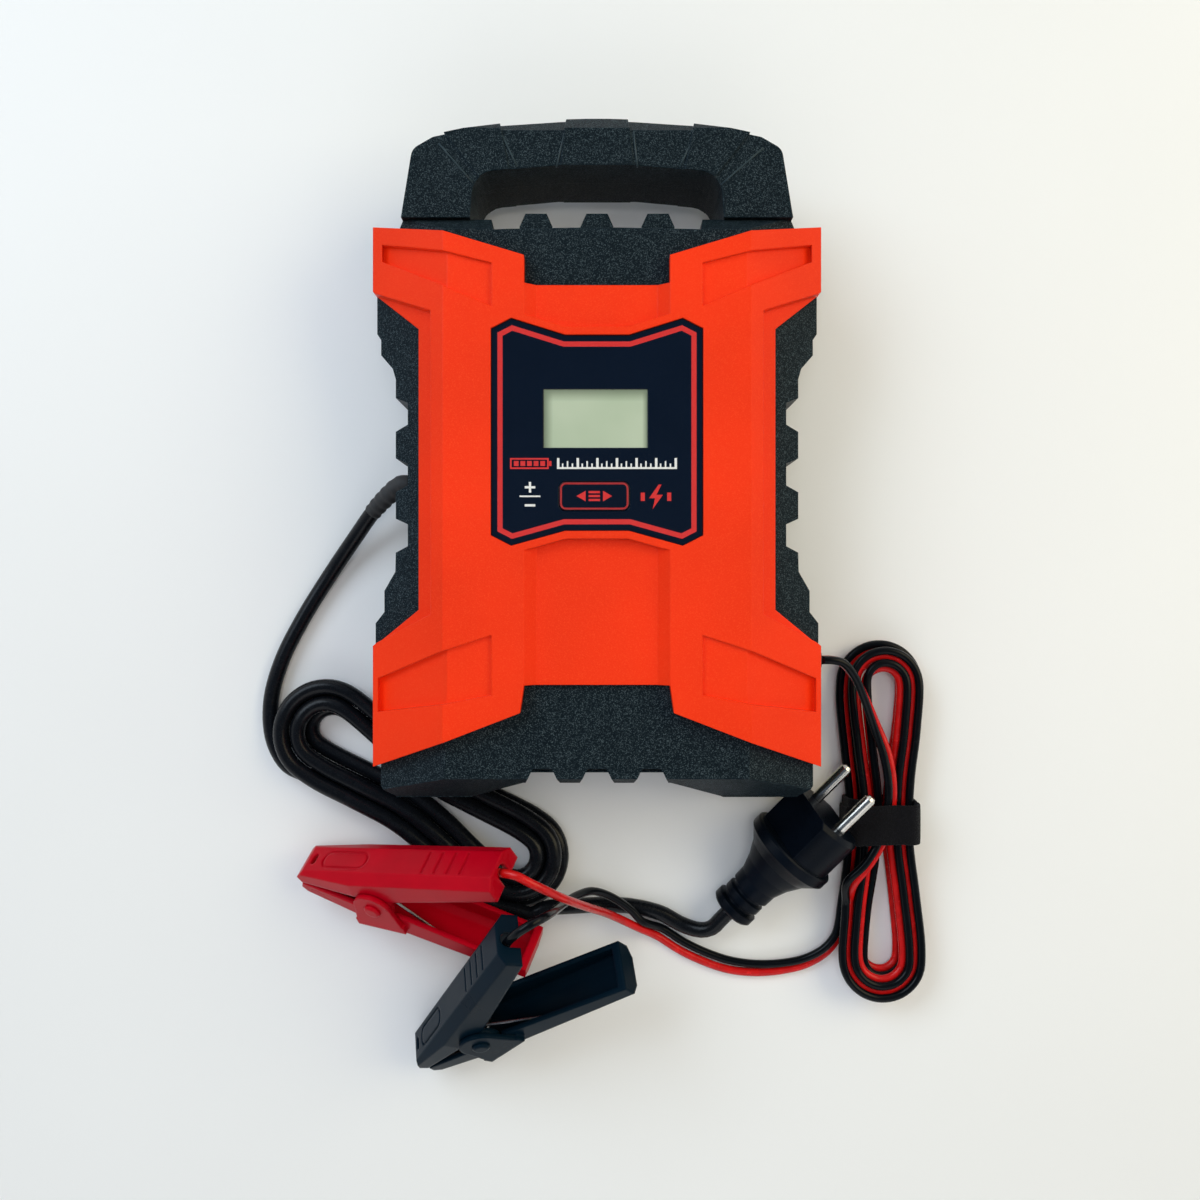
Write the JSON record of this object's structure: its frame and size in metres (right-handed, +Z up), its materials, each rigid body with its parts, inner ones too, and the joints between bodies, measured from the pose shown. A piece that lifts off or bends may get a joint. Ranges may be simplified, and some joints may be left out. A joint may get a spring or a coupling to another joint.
{
  "type": "car battery charger",
  "caption": "Portable car battery charger with a winged cover, display panel, side grips, carrying handle, mains plug on a coiled cord and sprung clamps on a bundled twin lead.",
  "frame": {"origin": "middle of the case, handle included, on the surface that its feet stand on", "axes": "+Z up out of the cover, +Y towards the carrying handle, +X towards the side that the twin lead leaves"},
  "size_m": [0.277, 0.3804, 0.0857],
  "materials": {
    "red_cover": "fine texture",
    "black_housing": "spark texture",
    "gloss_black": "polished",
    "lcd_face": "blank display",
    "lcd_frame": "satin",
    "circuit_board": "solder mask",
    "component_black": "moulded",
    "core_steel": "varnished",
    "winding_tape": "tape",
    "choke_copper": "enamelled",
    "capacitor_sleeve": "sleeve",
    "sink_aluminium": "extruded",
    "fuse_glass": "clear",
    "zinc_steel": "zinc plated",
    "foot_rubber": "matte",
    "gland_rubber": "matte",
    "mains_rubber": "satin",
    "plug_rubber": "satin",
    "pin_nickel": "nickel plated",
    "red_wire": "satin sheath",
    "black_wire": "satin sheath",
    "tie_fabric": "hook and loop strap",
    "red_clamp": "satin",
    "black_clamp": "satin",
    "spring_steel": "bright",
    "contact_copper": "copper plated"
  },
  "bodies": {
    "charger": {"rear_housing": "black_housing", "front_cover": "red_cover", "top_cap": "black_housing", "bottom_cap": "black_housing", "left_grip": "black_housing", "right_grip": "black_housing", "handle_front": "black_housing", "handle_rear": "black_housing", "display_panel": "gloss_black", "lcd_window": "lcd_face", "lcd_module": "lcd_frame", "main_board": "circuit_board", "control_board": "circuit_board", "mode_switch": "component_black", "transformer_core": "core_steel", "transformer_winding": "winding_tape", "filter_choke": "choke_copper", "capacitors": "capacitor_sleeve", "heat_sinks": "sink_aluminium", "power_transistors": "component_black", "fuse": "fuse_glass", "case_screws": "zinc_steel", "rubber_feet": "foot_rubber", "mains_gland": "gland_rubber", "output_gland": "gland_rubber", "mains_lead": "mains_rubber", "mains_coil": "mains_rubber", "plug_body": "plug_rubber", "plug_pins": "pin_nickel", "red_lead": "red_wire", "red_hank": "red_wire", "black_lead": "black_wire", "black_hank": "black_wire", "hank_tie": "tie_fabric", "red_clamp_base": "red_clamp", "red_clamp_rivet": "red_clamp", "red_clamp_spring": "spring_steel", "red_contact_lower": "contact_copper", "black_clamp_base": "black_clamp", "black_clamp_rivet": "black_clamp", "black_clamp_spring": "spring_steel", "black_contact_lower": "contact_copper"},
    "red_lever_body": {"red_clamp_lever": "red_clamp", "red_contact_upper": "contact_copper", "red_wire_end": "red_wire", "red_crimp": "contact_copper"},
    "black_lever_body": {"black_clamp_lever": "black_clamp", "black_contact_upper": "contact_copper", "black_wire_end": "black_wire", "black_crimp": "contact_copper"},
    "mode_button_body": {"mode_button": "gloss_black"}
  },
  "joints": [
    {"name": "red_lever", "type": "hinge", "parent": "charger", "child": "red_lever_body", "pos_m": [-0.0856, -0.1687, 0.0229], "axis": [0.3254, 0.6909, -0.6456], "range_deg": [0, 25], "stiffness_Nm_per_rad": 0.5, "springref_deg": -45.84},
    {"name": "black_lever", "type": "hinge", "parent": "charger", "child": "black_lever_body", "pos_m": [-0.0477, -0.2209, 0.0268], "axis": [-0.14, 0.7434, -0.654], "range_deg": [0, 25], "stiffness_Nm_per_rad": 0.5, "springref_deg": -45.84},
    {"name": "mode_button", "type": "slide", "parent": "charger", "child": "mode_button_body", "axis": [0, 0, -1], "range_m": [0, 0.0008], "stiffness_N_per_m": 800, "springref_m": -0.0008}
  ]
}
